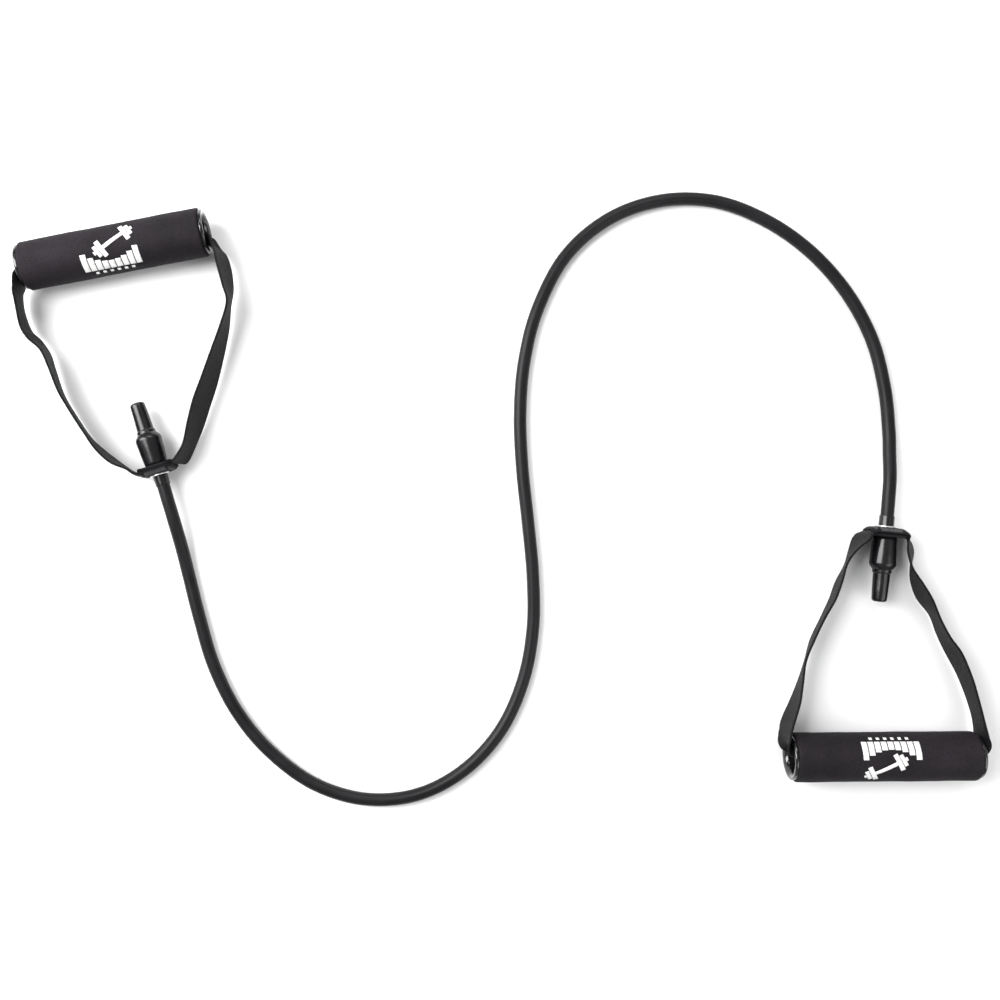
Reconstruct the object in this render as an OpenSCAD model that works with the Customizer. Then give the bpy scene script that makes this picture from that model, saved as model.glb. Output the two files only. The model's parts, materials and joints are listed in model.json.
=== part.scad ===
// Resistance band: a rubber tube with a foam grip on a webbing loop at each end.
// It lies on its back on the floor, with the tube in a loose S between the two handles.

/* [Tube] */
// Outer diameter of the rubber tube
tube_od = 9; // [8:0.5:12]
// Bore of the rubber tube
tube_id = 5; // [3:0.5:6]

/* [Boot and stopper] */
// Wall of the boot over its neck
neck_wall = 0.6; // [0.5:0.1:1.5]
// Length of the neck on the tube side of the eyelet
neck_len = 8; // [5:1:16]
// Wall of the boot over the bulge
bulge_wall = 3.1; // [2:0.1:5]
// Length of the bulge, from its washer seat to its shoulder
bulge_len = 25; // [20:1:36]
// Wall of the boot over the tail
tail_wall = 1.3; // [1:0.1:2.5]
// Length of the tail behind the shoulder
tail_len = 21; // [14:1:32]
// Thickness of the boot's closed tip
tip_wall = 2.2; // [1.5:0.1:4]
// Diameter of the stopper inside the tube
stopper_d = 9; // [7:0.5:12]
// Length of the stopper
stopper_len = 17; // [12:1:20]

/* [Eyelet and washer] */
// Radial clearance between the neck and what slides on it
neck_clear = 0.3; // [0.2:0.05:0.6]
// Wall of the eyelet's barrel
eyelet_wall = 0.5; // [0.4:0.1:1]
// Width of the eyelet's flange outside its barrel
flange_w = 1.1; // [0.8:0.1:3]
// Thickness of the eyelet's flange and of its back ring
flange_t = 0.9; // [0.6:0.1:1.5]
// Thickness of the loose washer
washer_t = 1; // [0.6:0.1:2]
// Width of the loose washer
washer_w = 2.6; // [1.5:0.1:5]

/* [Strap] */
// Width of the webbing
strap_w = 25; // [20:1:30]
// Thickness of the webbing
strap_t = 1.5; // [1:0.1:2]
// Distance from the eyelet to the axis of the grip
reach = 159; // [130:1:200]
// Half the length of the seam where the strap's ends lap
seam_half = 12; // [10:1:14]

/* [Grip] */
// Diameter of the foam
foam_od = 34; // [30:1:42]
// Length of the foam
foam_len = 126; // [110:1:160]
// Outer diameter of the stiff core
core_od = 26; // [24:0.5:27]
// Wall of the core
core_wall = 1.5; // [1:0.1:2]
// Outer diameter of the end caps
cap_od = 31; // [30:0.5:32]
// How far each cap stands out of the foam
cap_out = 2.6; // [2:0.2:8]
// Length of the cap's spigot in the core
spigot_len = 14; // [8:1:25]
// Wall of the cap's spigot
spigot_wall = 1; // [0.8:0.1:1.4]

/* [Hidden] */

$fn = 64;

// Where each handle lies: eyelet centre, turn about Z, turn of the boot within the handle, and
// how far the grip has slid along its strap from the middle
place_a = [-238, 14];
turn_a = 11;
skew_a = 7;
slip_a = 0;
place_b = [269, -23];
turn_b = 180.5;
skew_b = -6;
slip_b = 5;

// The tube's route on the floor, from handle A's boot to handle B's boot
floor_route = [
    [-232, -6, 12.2], [-228, -21, 10.5], [-224, -38, 7], [-220, -56, 4.8], [-212, -88, 4.5],
    [-202, -121, 4.5], [-186, -153, 4.5], [-163, -181, 4.5], [-132, -204, 4.5], [-96, -215, 4.5],
    [-59, -212, 4.5], [-26, -195, 4.5], [0, -167, 4.5], [16, -132, 4.5], [23, -95, 4.5],
    [23, -57, 4.5], [19.5, -19, 4.5], [15.5, 19, 4.5], [14, 57, 4.5], [17, 94, 4.5],
    [26.5, 131, 4.5], [46, 168, 4.5], [76, 194, 4.5], [112, 207, 4.5], [150, 207, 4.5],
    [186, 194, 4.5], [218, 172, 4.5], [244, 143, 4.5], [262, 110, 4.5], [271, 76, 4.5],
    [274, 46, 5], [273.5, 28, 7.5], [272.5, 12, 10.8], [271, -2, 12.3]];

// Each strap leg from the seam to the cap's mouth: share of the mouth's distance, share of
// the reach, and the roll of the webbing from flat
leg_right_a = [[0.235, 0.044, 98], [0.342, 0.101, 96], [0.442, 0.182, 103],
    [0.549, 0.274, 106], [0.668, 0.364, 104], [0.805, 0.478, 98], [0.920, 0.579, 91],
    [1.003, 0.673, 84], [1.027, 0.742, 95], [1.030, 0.830, 101]];
leg_left_a = [[0.285, 0.041, 96], [0.414, 0.088, 90], [0.535, 0.154, 93], [0.628, 0.226, 100],
    [0.725, 0.330, 101], [0.803, 0.431, 101], [0.842, 0.541, 99], [0.874, 0.619, 95],
    [0.956, 0.682, 88], [1.017, 0.736, 94], [1.034, 0.824, 99]];
leg_right_b = [[0.246, 0.050, 95], [0.321, 0.097, 82], [0.392, 0.160, 73], [0.461, 0.236, 79],
    [0.524, 0.314, 79], [0.621, 0.399, 76], [0.718, 0.491, 76], [0.783, 0.579, 72],
    [0.826, 0.667, 78], [0.877, 0.755, 86], [0.952, 0.849, 91]];
leg_left_b = [[0.218, 0.060, 112], [0.247, 0.107, 120], [0.259, 0.170, 111],
    [0.310, 0.239, 95], [0.391, 0.314, 88], [0.499, 0.396, 97], [0.583, 0.475, 93],
    [0.680, 0.547, 87], [0.792, 0.648, 91], [0.870, 0.742, 95], [0.934, 0.836, 97]];

// Heights: the webbing stands on its edge, a touch above the floor where it leans
strap_lift = 0.2;
axis_z = strap_w / 2 + strap_lift;
grip_z = foam_od / 2;

// Boot: distances along its axis from the face of the strap's seam, positive towards the tip
lap_gap = 0.1;
seam_t = 2 * strap_t + lap_gap;
rim_r = 0.4;
back_at = seam_t;
rim_at = back_at + flange_t + rim_r;
washer_play = 0.2;
washer_at = rim_at + rim_r + washer_play;
seat_at = washer_at + washer_t + washer_play;
flare_len = 2;
shoulder_at = seat_at + bulge_len - 4;
tail_at = seat_at + bulge_len;
tip_at = tail_at + tail_len;
tube_end_at = tip_at - tip_wall;

// Radii round the boot's axis
tube_r = tube_od / 2;
bore_r = tube_id / 2;
rubber = tube_r * tube_r - bore_r * bore_r;
neck_r = tube_r + neck_wall;
bulge_r = swollen(stopper_d / 2) + bulge_wall;
flare_r = bulge_r - 1;
tail_r = tube_r + tail_wall;
tip_r = tail_r - 0.5;
tip_round = 2;
slide_r = neck_r + neck_clear;
barrel_r = slide_r + eyelet_wall;
flange_r = barrel_r + flange_w;

// Stopper stations along the axis: distance and radius
stopper_mid = (seat_at + flare_len + shoulder_at) / 2;
stopper_end_r = bore_r;
nose_len = 4;
stopper_line = [
    [stopper_mid - stopper_len / 2, stopper_end_r],
    [stopper_mid - stopper_len / 2 + nose_len, stopper_d / 2],
    [stopper_mid + stopper_len / 2 - nose_len, stopper_d / 2],
    [stopper_mid + stopper_len / 2, stopper_end_r]];

// Tube section
tube_sides = 10;
tube_facet = cos(180 / tube_sides);
route_steps = 2;

// Grip: distances along its axis from the middle
core_r = core_od / 2;
core_id_r = core_r - core_wall;
fit_gap = 0.05;
spigot_r = core_id_r - fit_gap;
throat_r = spigot_r - spigot_wall;
foam_end = foam_len / 2;
cap_end = foam_end + cap_out;
lip_r = 1.2;
rim_crest_r = cap_od / 2 - lip_r;
mouth_deep = 1.5;
mouth_len = cap_out + mouth_deep;
foam_round = 4;
foam_gap = 0.05;
cap_seat_gap = 0.3;

// Strap: clearance to the cap's throat, and how the webbing cups in the core
throat_clear = 1;
cup_r = throat_r - throat_clear - strap_t / 2;
bend_out = 4.5;
mouth_x = cap_end + bend_out;
edge_flat = flange_r + 0.3;
edge_curl_r = 7;
leg_steps = 3;
half_steps = [0, edge_flat / 2, edge_flat, (edge_flat + strap_w / 2) / 2, strap_w / 2];
strap_half_points = len(half_steps) - 1;
seam_inner = seam_half - 4;
tack_len = 2;
tack_w = strap_w - 5;
tack_t = 0.4;

// Radius of the tube where something of radius r swells its bore, at the same area of rubber
function swollen(r) = sqrt(r * r + rubber);

// Catmull-Rom value between b and c, with neighbours a and d, at share t
function blend4(a, b, c, d, t) =
    0.5 * (2 * b + (c - a) * t + (2 * a - 5 * b + 4 * c - d) * t * t
    + (3 * b - a - 3 * c + d) * t * t * t);

// Points of a smooth line through the given rows, from row first to row last
function smooth_line(rows, first, last, steps) = [
    for (i = [first:last - 1])
        for (j = [0:steps - 1])
            blend4(rows[max(i - 1, 0)], rows[i], rows[i + 1],
                rows[min(i + 2, len(rows) - 1)], j / steps),
    rows[last]];

function unit(v) = v / norm(v);
function spin(p, a) = [p[0] * cos(a) - p[1] * sin(a), p[0] * sin(a) + p[1] * cos(a), p[2]];

// Direction of a line of points at point i
function heading(points, i) =
    unit(points[min(i + 1, len(points) - 1)] - points[max(i - 1, 0)]);

// Point on a boot's axis at distance t, in the model's own frame
function on_axis(place, turn, t) =
    [place[0], place[1], axis_z] + spin([0, t, 0], turn);

// Rings of the tube inside one boot: each is [point, outer radius, bore radius]
function boot_rings(place, turn) = [
    [on_axis(place, turn, tube_end_at), tube_r, bore_r],
    [on_axis(place, turn, stopper_line[3][0]), tube_r, bore_r],
    [on_axis(place, turn, stopper_line[2][0]), swollen(stopper_d / 2), stopper_d / 2],
    [on_axis(place, turn, stopper_line[1][0]), swollen(stopper_d / 2), stopper_d / 2],
    [on_axis(place, turn, stopper_line[0][0]), tube_r, bore_r],
    [on_axis(place, turn, -neck_len), tube_r, bore_r]];

// One side of a closed skin: faces between neighbouring loops of n points, first loop at start
function skin(start, loops, n) = [
    for (i = [0:loops - 2])
        for (k = [0:n - 1])
            let (a = start + i * n + k, b = start + i * n + (k + 1) % n)
            each [[a, a + n, b + n], [a, b + n, b]]];

function flipped(faces) = [for (f = faces) [f[2], f[1], f[0]]];

// Circle of n points round a line at point i
function ring_points(points, i, r, n) =
    let (t = heading(points, i), side = unit(cross(t, [0, 0, 1])), up = cross(side, t))
    [for (k = [0:n - 1]) points[i] + r * (cos(360 * k / n) * side + sin(360 * k / n) * up)];

// Tube: one hollow sweep along the whole route
module tube() {
    spline = smooth_line(floor_route, 0, len(floor_route) - 1, route_steps);
    start_rings = boot_rings(place_a, turn_a + skew_a);
    end_rings = boot_rings(place_b, turn_b + skew_b);
    last_ring = len(end_rings) - 1;
    rings = concat(start_rings, [for (p = spline) [p, tube_r, bore_r]],
        [for (i = [0:last_ring]) end_rings[last_ring - i]]);
    line = [for (ring = rings) ring[0]];
    count = len(rings);
    outer = [for (i = [0:count - 1]) each ring_points(line, i, rings[i][1], tube_sides)];
    inner = [for (i = [0:count - 1])
        each ring_points(line, i, rings[i][2] / tube_facet, tube_sides)];
    n = tube_sides;
    base = count * n;
    last = (count - 1) * n;
    near_end = [for (k = [0:n - 1]) [k, (k + 1) % n, base + (k + 1) % n, base + k]];
    far_end = [for (k = [0:n - 1])
        [last + k, base + last + k, base + last + (k + 1) % n, last + (k + 1) % n]];
    color([0.10, 0.10, 0.11])
    polyhedron(concat(outer, inner),
        concat(skin(0, count, n), flipped(skin(base, count, n)), near_end, far_end),
        convexity = 10);
}

// Places a shape made round +Z on a boot's axis, with +Z towards the boot's tip
module on_boot(place, turn) {
    translate([place[0], place[1], axis_z])
    rotate([0, 0, turn])
    rotate([-90, 0, 0])
    children();
}

// Flat ring round +Z from z to z + t
module ring(inner_r, outer_r, z, t) {
    translate([0, 0, z])
    difference() {
        cylinder(r = outer_r, h = t);
        translate([0, 0, -1])
        cylinder(r = inner_r, h = t + 2);
    }
}

// Stopper: a barrel with tapered ends
module stopper() {
    color([0.75, 0.75, 0.72])
    rotate_extrude()
    polygon(concat([[0, stopper_line[0][0]]],
        [for (s = stopper_line) [s[1], s[0]]],
        [[0, stopper_line[3][0]]]));
}

// Boot: neck, flare, bulge, shoulder and closed tail over the swollen tube end
module boot() {
    outline = [
        [neck_r, -neck_len],
        [neck_r, seat_at],
        [flare_r - 2, seat_at],
        [flare_r, seat_at + flare_len],
        [bulge_r, shoulder_at - 3],
        [bulge_r - 0.5, shoulder_at - 0.5],
        [bulge_r - 1.6, shoulder_at + 1.4],
        [tail_r + 0.4, tail_at - 0.4],
        [tail_r, tail_at],
        [tip_r, tip_at - tip_round]];
    tip_arc = [for (a = [30:30:90])
        [tip_r - tip_round * (1 - cos(a)), tip_at - tip_round * (1 - sin(a))]];
    cavity = [
        [0, tube_end_at],
        [tube_r, tube_end_at],
        [tube_r, stopper_line[3][0]],
        [swollen(stopper_d / 2), stopper_line[2][0]],
        [swollen(stopper_d / 2), stopper_line[1][0]],
        [tube_r, stopper_line[0][0]],
        [tube_r, -neck_len]];
    color([0.05, 0.05, 0.055])
    rotate_extrude()
    polygon(concat(outline, tip_arc, [[0, tip_at]], cavity));
}

// Washer: loose on the neck, between the bulge and the eyelet
module washer() {
    color([0.62, 0.63, 0.64])
    ring(slide_r, slide_r + washer_w, washer_at, washer_t);
}

// Eyelet: flange, barrel and the edge that is rolled over the back ring
module eyelet() {
    color([0.82, 0.82, 0.80])
    union() {
        ring(slide_r, flange_r, -flange_t, flange_t);
        ring(slide_r, barrel_r, -flange_t, rim_at + flange_t);
        translate([0, 0, rim_at])
        rotate_extrude()
        translate([barrel_r, 0])
        intersection() {
            circle(r = rim_r);
            translate([-eyelet_wall, -rim_r])
            square([eyelet_wall + rim_r, 2 * rim_r]);
        }
    }
}

// Back ring: holds the webbing against the eyelet's flange
module eyelet_back() {
    color([0.82, 0.82, 0.80])
    ring(barrel_r, flange_r, back_at, flange_t);
}

// One row of the strap: [x, y, z, roll, curl, flat half-width of the section]
function seam_row(x, y, skew) =
    let (p = spin([x, y, 0], skew))
    [p[0], p[1], axis_z, 90, 1 / (edge_curl_r - y), edge_flat];

function leg_row(side, slip, row) =
    [side * row[0] * mouth_x + slip * row[1], row[1] * reach, axis_z + (grip_z - axis_z) * row[1], row[2],
        0, strap_w / 2];

// Rows round a cap's lip into the core: [past the cap's end, below the bore's near wall,
// share of the full cup, share of the way out to the leg and of its roll]
mouth_line = [[1.8, 9, 0.04, 0.8], [1.7, 4.8, 0.15, 0.35], [0.7, 1.9, 0.42, 0.05],
    [-0.8, 0.6, 0.78, 0], [-2.4, 0.2, 0.9, 0], [-4.1, 0, 0.96, 0], [-8, 0, 1, 0], [-18, 0, 1, 0]];
function mouth_rows(side, slip, leg) = [for (m = mouth_line)
    let (
        out = cap_end + m[0],
        x = out + m[3] * max(leg[0] * mouth_x - out, 0),
        roll = 90 + m[3] * (leg[2] - 90))
    [slip + side * x, reach - cup_r - m[1], grip_z, roll, -m[2] / cup_r, 0]];

function turned(rows) = [for (i = [0:len(rows) - 1]) rows[len(rows) - 1 - i]];

// Whole strap: inner lap, right leg, grip, left leg, outer lap
function strap_rows(skew, slip, right, left) =
    let (
        inner_y = strap_t * 1.5 + lap_gap,
        outer_y = strap_t / 2,
        up_rows = concat(
            [seam_row(0, inner_y, skew), seam_row(seam_half, inner_y, skew)],
            [for (row = right) leg_row(1, slip, row)], mouth_rows(1, slip, right[len(right) - 1])),
        down_rows = concat(turned(mouth_rows(-1, slip, left[len(left) - 1])),
            [for (row = turned(left)) leg_row(-1, slip, row)],
            [seam_row(-seam_half, outer_y, skew), seam_row(0, outer_y, skew)]))
    concat(
        [seam_row(-seam_half, inner_y, skew), seam_row(-seam_inner, inner_y, skew),
            seam_row(seam_inner, inner_y, skew)],
        smooth_line(up_rows, 1, len(up_rows) - 1, leg_steps),
        smooth_line(down_rows, 0, len(down_rows) - 2, leg_steps),
        [seam_row(-seam_inner, outer_y, skew), seam_row(seam_inner, outer_y, skew),
            seam_row(seam_half, outer_y, skew)]);

// Offset of the section's middle line at distance u from the centre: [across, out, tilt]
function section_at(u, curl, flat) =
    let (
        over = max(abs(u) - flat, 0),
        a = over * curl * 180 / PI,
        r = abs(curl) < 0.001 ? 0 : 1 / curl,
        across = r == 0 ? abs(u) : min(abs(u), flat) + r * sin(a),
        out = r == 0 ? 0 : r * (1 - cos(a)))
    [sign(u) * across, out, sign(u) * a];

// The strap's section at row i: up one face of the webbing and back down the other
function strap_ring(rows, line, i) =
    let (
        row = rows[i],
        t = heading(line, i),
        side = unit(cross(t, [0, 0, 1])),
        up = cross(side, t),
        wide = cos(row[3]) * side + sin(row[3]) * up,
        out = cross(wide, t),
        m = strap_half_points,
        us = [for (k = [-m:m]) sign(k) * half_steps[abs(k)]])
    concat(
        [for (u = us) let (s = section_at(u, row[4], row[5]))
            line[i] + (s[0] - strap_t / 2 * sin(s[2])) * wide
                + (s[1] + strap_t / 2 * cos(s[2])) * out],
        [for (k = [0:2 * m]) let (s = section_at(us[2 * m - k], row[4], row[5]))
            line[i] + (s[0] + strap_t / 2 * sin(s[2])) * wide
                + (s[1] - strap_t / 2 * cos(s[2])) * out]);

module webbing(skew, slip, right, left) {
    rows = strap_rows(skew, slip, right, left);
    line = [for (row = rows) [row[0], row[1], row[2]]];
    n = 4 * strap_half_points + 2;
    points = [for (i = [0:len(rows) - 1]) each strap_ring(rows, line, i)];
    last = (len(rows) - 1) * n;
    ends = [for (k = [0:2 * strap_half_points - 1])
        each [[k, k + 1, n - 2 - k, n - 1 - k],
            [last + k, last + n - 1 - k, last + n - 2 - k, last + k + 1]]];
    polyhedron(points, concat(skin(0, len(rows), n), ends), convexity = 10);
}

// Strap: the webbing loop, with the eyelet's hole through both laps
module strap(skew, slip, right, left) {
    color([0.13, 0.13, 0.13])
    difference() {
        webbing(skew, slip, right, left);
        translate([0, 0, axis_z])
        rotate([0, 0, skew])
        rotate([-90, 0, 0])
        translate([0, 0, -1])
        cylinder(r = barrel_r, h = seam_t + 2);
    }
}

// Places a shape made in a handle's own frame: eyelet at the origin, grip along X
module on_handle(place, turn) {
    translate([place[0], place[1], 0])
    rotate([0, 0, turn])
    children();
}

// Bar tacks: two dense rows of thread across the lapped ends
module strap_stitching(skew) {
    color([0.20, 0.20, 0.20])
    rotate([0, 0, skew])
    for (x = [-1, 1])
        translate([x * (seam_half - 2) - tack_len / 2, -tack_t, axis_z - tack_w / 2])
        cube([tack_len, tack_t, tack_w]);
}

// Places a shape made round +Z on a grip's axis, with +Z to the handle's right
module on_grip(slip) {
    translate([slip, reach, grip_z])
    rotate([0, 90, 0])
    children();
}

// Core: the stiff plastic tube under the foam
module core(slip) {
    color([0.30, 0.30, 0.30])
    on_grip(slip)
    ring(core_id_r, core_r, -foam_end, foam_len);
}

// Cap: spigot in the core, flange against the foam's end and a mouth that rolls out to the lip
module cap() {
    mouth = [for (a = [90:-15:0])
        [throat_r + (rim_crest_r - throat_r) * (1 - cos(a)), cap_end - mouth_len * (1 - sin(a))]];
    lip = [for (a = [0:15:75])
        [rim_crest_r + lip_r * cos(a), cap_end - lip_r * (1 - sin(a))]];
    color([0.04, 0.04, 0.045])
    rotate_extrude()
    polygon(concat(
        [[spigot_r, foam_end - spigot_len], [spigot_r, foam_end + cap_seat_gap],
            [cap_od / 2, foam_end + cap_seat_gap]],
        lip, mouth,
        [[throat_r, foam_end - spigot_len]]));
}

module cap_right(slip) {
    on_grip(slip)
    cap();
}

module cap_left(slip) {
    on_grip(slip)
    mirror([0, 0, 1])
    cap();
}

// Foam: sleeve with rounded ends
module foam(slip) {
    color([0.20, 0.20, 0.205])
    on_grip(slip)
    rotate_extrude()
    difference() {
        translate([core_r + foam_gap, -foam_end])
        square([foam_od / 2 - core_r - foam_gap, foam_len]);
        for (s = [-1, 1])
            translate([foam_od / 2 - foam_round, s * (foam_end - foam_round)])
            difference() {
                translate([0, s > 0 ? 0 : -foam_round - 1])
                square([foam_round + 1, foam_round + 1]);
                circle(r = foam_round);
            }
    }
}

tube();

on_boot(place_a, turn_a + skew_a) stopper();  // stopper_a
on_boot(place_a, turn_a + skew_a) boot();  // boot_a
on_boot(place_a, turn_a + skew_a) washer();  // washer_a
on_boot(place_a, turn_a + skew_a) eyelet();  // eyelet_a
on_boot(place_a, turn_a + skew_a) eyelet_back();  // eyelet_back_a
on_handle(place_a, turn_a) strap(skew_a, slip_a, leg_right_a, leg_left_a);  // strap_a
on_handle(place_a, turn_a) strap_stitching(skew_a);  // strap_stitching_a
on_handle(place_a, turn_a) core(slip_a);  // core_a
on_handle(place_a, turn_a) cap_left(slip_a);  // cap_left_a
on_handle(place_a, turn_a) cap_right(slip_a);  // cap_right_a
on_handle(place_a, turn_a) foam(slip_a);  // foam_a

on_boot(place_b, turn_b + skew_b) stopper();  // stopper_b
on_boot(place_b, turn_b + skew_b) boot();  // boot_b
on_boot(place_b, turn_b + skew_b) washer();  // washer_b
on_boot(place_b, turn_b + skew_b) eyelet();  // eyelet_b
on_boot(place_b, turn_b + skew_b) eyelet_back();  // eyelet_back_b
on_handle(place_b, turn_b) strap(skew_b, slip_b, leg_right_b, leg_left_b);  // strap_b
on_handle(place_b, turn_b) strap_stitching(skew_b);  // strap_stitching_b
on_handle(place_b, turn_b) core(slip_b);  // core_b
on_handle(place_b, turn_b) cap_left(slip_b);  // cap_left_b
on_handle(place_b, turn_b) cap_right(slip_b);  // cap_right_b
on_handle(place_b, turn_b) foam(slip_b);  // foam_b
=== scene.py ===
import json
import math

import bpy
from mathutils import Matrix, Vector


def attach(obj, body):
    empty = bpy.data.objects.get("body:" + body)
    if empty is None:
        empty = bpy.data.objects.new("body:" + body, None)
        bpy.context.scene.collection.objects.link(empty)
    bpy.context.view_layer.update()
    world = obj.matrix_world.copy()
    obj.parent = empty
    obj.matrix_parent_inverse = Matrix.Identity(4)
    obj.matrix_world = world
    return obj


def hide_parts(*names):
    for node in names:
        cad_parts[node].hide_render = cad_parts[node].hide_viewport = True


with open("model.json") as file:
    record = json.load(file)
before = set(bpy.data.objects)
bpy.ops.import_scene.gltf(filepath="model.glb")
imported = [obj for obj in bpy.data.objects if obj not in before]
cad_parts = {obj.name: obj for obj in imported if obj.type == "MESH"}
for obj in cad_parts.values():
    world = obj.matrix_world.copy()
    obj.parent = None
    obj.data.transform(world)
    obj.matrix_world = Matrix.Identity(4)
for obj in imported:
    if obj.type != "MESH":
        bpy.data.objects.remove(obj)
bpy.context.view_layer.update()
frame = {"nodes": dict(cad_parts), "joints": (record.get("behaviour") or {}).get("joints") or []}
scene = bpy.context.scene
scene.view_settings.view_transform = "Standard"
joints = {joint["name"]: joint for joint in frame["joints"]}
up = Vector((0, 0, 1))
mm = 0.001


# The camera looks straight down, from a little beside the middle of its view
cameraSetup = {
    "height": 0.76,  # above the floor
    "stand": (-0.032, -0.004),
    "centre": 0.0,  # x of the floor in the middle of the view
    "floorWidth": 0.710,  # how much floor the view takes in
    "sensor": 36.0,
}


def makeCamera(setup):
    data = bpy.data.cameras.new("camera")
    data.sensor_width = setup["sensor"]
    data.lens = setup["sensor"] * setup["height"] / setup["floorWidth"]
    data.shift_x = (setup["centre"] - setup["stand"][0]) / setup["floorWidth"]
    camera = bpy.data.objects.new("camera", data)
    camera.location = (*setup["stand"], setup["height"])
    scene.collection.objects.link(camera)
    scene.camera = camera


makeCamera(cameraSetup)
print("camera ready")


def blend4(a, b, c, d, t):
    # Catmull-Rom value between b and c, for lists of numbers
    return [
        0.5 * (2 * q + (r - p) * t + (2 * p - 5 * q + 4 * r - s) * t * t
               + (3 * q - p - 3 * r + s) * t ** 3)
        for p, q, r, s in zip(a, b, c, d)
    ]


def smoothRows(rows, first, last, steps):
    # rows first to last of a smooth line through all the rows
    out = []
    for i in range(first, last):
        before, after = rows[max(i - 1, 0)], rows[min(i + 2, len(rows) - 1)]
        for j in range(steps):
            out.append(blend4(before, rows[i], rows[i + 1], after, j / steps))
    out.append(list(rows[last]))
    return out


def headings(points):
    last = len(points) - 1
    return [
        (points[min(i + 1, last)] - points[max(i - 1, 0)]).normalized()
        for i in range(len(points))
    ]


def runLengths(points):
    out = [0.0]
    for a, b in zip(points, points[1:]):
        out.append(out[-1] + (b - a).length)
    return out


def wobble(x, y, seed=0.0):
    # smooth value from -1 to 1 that looks irregular and is the same each run
    return (
        math.sin(1.7 * x + 2.3 * y + seed)
        + 0.7 * math.sin(3.1 * x - 1.9 * y + 2.1 * seed + 1.3)
        + 0.5 * math.sin(5.3 * x + 4.7 * y + 0.7 * seed + 4.1)
    ) / 2.2


def meshPiece(name, points, faces, uvs, material, matrix=None):
    # uvs holds one (u, v) for each corner of each face, in metres along the surface
    mesh = bpy.data.meshes.new(name)
    mesh.from_pydata([tuple(p) for p in points], [], faces)
    layer = mesh.uv_layers.new(name="surface")
    for corner, uv in zip(layer.data, uvs):
        corner.uv = uv
    mesh.materials.append(material)
    mesh.shade_smooth()
    mesh.validate()
    piece = bpy.data.objects.new(name, mesh)
    scene.collection.objects.link(piece)
    if matrix is not None:
        piece.matrix_world = matrix
    return piece


def gridPiece(name, rings, lengths, widths, material, matrix=None, closed=True, ends=True,
              loop=False):
    # Skin over equal rings of points. lengths is each ring's u, widths each point's v
    count, size = len(rings), len(rings[0])
    points = [p for ring in rings for p in ring]
    faces, uvs = [], []
    spans = count if loop else count - 1
    sides = size if closed else size - 1
    for i in range(spans):
        nextRing = (i + 1) % count
        for k in range(sides):
            nextPoint = (k + 1) % size
            faces.append((i * size + k, nextRing * size + k, nextRing * size + nextPoint,
                          i * size + nextPoint))
            u0, u1 = lengths[i], lengths[i + 1]
            v0, v1 = widths[k], widths[k + 1]
            uvs += [(u0, v0), (u1, v0), (u1, v1), (u0, v1)]
    if ends and not loop:
        for start, turn in ((0, 1), ((count - 1) * size, -1)):
            ring = [start + k for k in range(size)][::turn]
            faces.append(tuple(ring))
            uvs += [(points[i][0], points[i][1]) for i in ring]
    return meshPiece(name, points, faces, uvs, material, matrix)


def filleted(corners, radii, steps=5):
    # Rounds the corners of an outline in 2D. Its two ends stay as they are
    straight, mostOfSide = math.radians(176), 0.48
    out = [corners[0]]
    for i in range(1, len(corners) - 1):
        here, radius = Vector(corners[i]), radii[i]
        toBack = Vector(corners[i - 1]) - here
        toFront = Vector(corners[i + 1]) - here
        angle = toBack.angle(toFront, math.pi)
        if radius <= 0 or angle > straight:
            out.append(tuple(here))
            continue
        cut = min(radius / math.tan(angle / 2), toBack.length * mostOfSide,
                  toFront.length * mostOfSide)
        a = here + toBack.normalized() * cut
        b = here + toFront.normalized() * cut
        for s in range(steps + 1):
            t = s / steps
            out.append(tuple(a * (1 - t) ** 2 + here * (2 * t * (1 - t)) + b * t * t))
    out.append(corners[-1])
    return out


def lathePiece(name, outline, material, matrix, around=96, loop=True, shape=None):
    # Turns an outline of (radius, along) round local Z. shape(angle, radius, along) may
    # move a point. An open outline starts and ends on the axis
    surfaceRadius, weldWithin = 0.01, 1e-6
    rings = []
    for k in range(around):
        angle = 2 * math.pi * k / around
        ring = []
        for radius, along in outline:
            r, z = shape(angle, radius, along) if shape else (radius, along)
            ring.append(Vector((r * math.cos(angle), r * math.sin(angle), z)))
        rings.append(ring)
    lengths = [2 * math.pi * k / around * surfaceRadius for k in range(around + 1)]
    widths = [0.0]
    shut = outline + [outline[0]]
    for a, b in zip(shut, shut[1:]):
        widths.append(widths[-1] + math.dist(a, b))
    piece = gridPiece(name, rings, lengths, widths, material, matrix, closed=loop, loop=True)
    if not loop:
        weld = piece.modifiers.new("weld", "WELD")
        weld.merge_threshold = weldWithin
    return piece


def tubeAlong(points, radii, sides):
    # Rings of a round tube along points that never head straight up
    rings = []
    for point, heading, radius in zip(points, headings(points), radii):
        side = heading.cross(up).normalized()
        lift = side.cross(heading)
        rings.append([
            point + (side * math.cos(a) + lift * math.sin(a)) * radius
            for a in (2 * math.pi * k / sides for k in range(sides))
        ])
    return rings


def newMaterial(name):
    material = bpy.data.materials.new(name)
    material.use_nodes = True
    tree = material.node_tree
    return material, tree, tree.nodes["Principled BSDF"]


def addNode(tree, kind, links=None, values=None, **settings):
    node = tree.nodes.new(kind)
    for key, value in settings.items():
        setattr(node, key, value)
    for key, value in (values or {}).items():
        node.inputs[key].default_value = value
    for key, source in (links or {}).items():
        tree.links.new(source, node.inputs[key])
    return node


def mathNode(tree, operation, *inputs):
    node = tree.nodes.new("ShaderNodeMath")
    node.operation = operation
    for i, value in enumerate(inputs):
        if isinstance(value, (int, float)):
            node.inputs[i].default_value = value
        else:
            tree.links.new(value, node.inputs[i])
    return node.outputs[0]


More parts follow.
